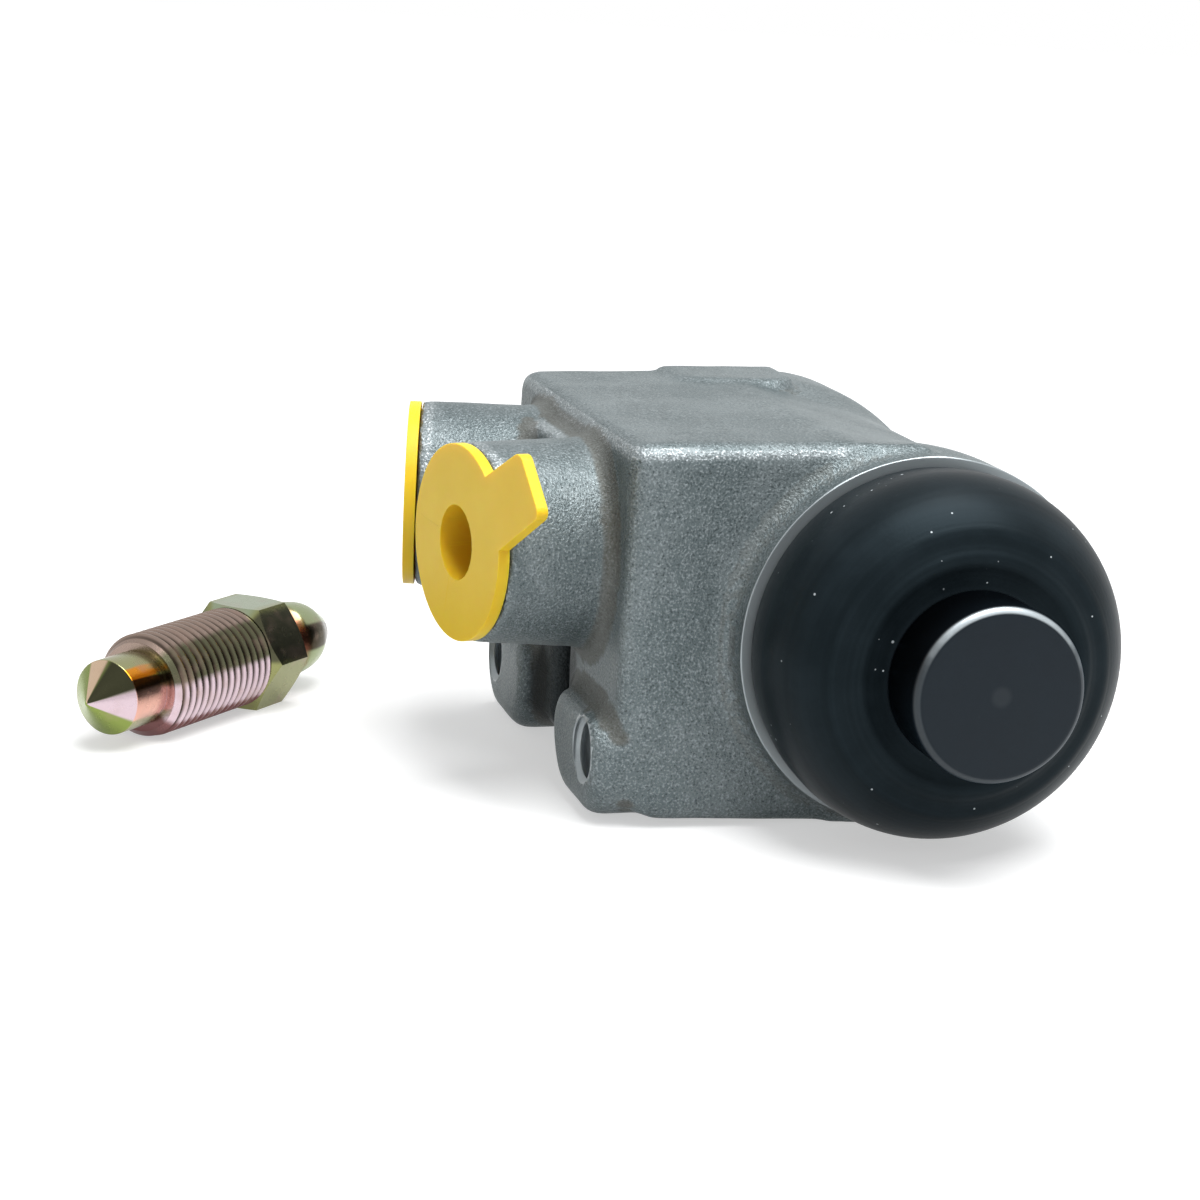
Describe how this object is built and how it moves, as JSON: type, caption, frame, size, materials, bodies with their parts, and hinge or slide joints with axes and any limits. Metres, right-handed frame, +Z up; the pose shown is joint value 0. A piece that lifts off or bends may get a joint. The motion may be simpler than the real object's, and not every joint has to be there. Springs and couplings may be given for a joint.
{
  "type": "wheel cylinder",
  "caption": "Double-ended drum brake wheel cylinder: cast block body with two tapped lugs, two plugged port bosses, domed rubber boots over the pistons, and a loose bleed screw.",
  "frame": {"origin": "midway between the two tapped mounting holes, on the face of the lugs", "axes": "+X away from the backing plate towards the bore, Y along the bore with the front end at -Y, +Z up as it lies in the picture"},
  "size_m": [0.0853, 0.083, 0.0342],
  "materials": {
    "casting": "as cast, fine grained",
    "piston": "hard anodised, satin",
    "seal": "moulded",
    "spreader": "pressed sheet",
    "boot": "satin moulded rubber",
    "port_plug": "waxy, slightly translucent",
    "spring": "drawn wire",
    "zinc_screw": "yellow passivated zinc"
  },
  "bodies": {
    "housing": {"housing": "casting", "return_spring": "spring", "dust_boot_front": "boot", "dust_boot_rear": "boot", "bleed_screw": "zinc_screw"},
    "piston_front": {"piston_front": "piston", "cup_seal_front": "seal", "cup_spreader_front": "spreader"},
    "piston_rear": {"piston_rear": "piston", "cup_seal_rear": "seal", "cup_spreader_rear": "spreader"},
    "inlet_port_plug": {"inlet_port_plug": "port_plug"},
    "bleed_port_plug": {"bleed_port_plug": "port_plug"}
  },
  "joints": [
    {"name": "piston_front_slide", "type": "slide", "parent": "housing", "child": "piston_front", "axis": [0, -1, 0], "range_m": [-0.0008, 0.005], "deforming": ["dust_boot_front", "return_spring"]},
    {"name": "piston_rear_slide", "type": "slide", "parent": "housing", "child": "piston_rear", "axis": [0, 1, 0], "range_m": [-0.0008, 0.005], "deforming": ["dust_boot_rear", "return_spring"]},
    {"name": "inlet_port_plug_pull", "type": "slide", "parent": "housing", "child": "inlet_port_plug", "axis": [-0.9748, -0.2233, 0], "range_m": [0, 0.012]},
    {"name": "bleed_port_plug_pull", "type": "slide", "parent": "housing", "child": "bleed_port_plug", "axis": [-0.9748, 0.2233, 0], "range_m": [0, 0.012]}
  ]
}
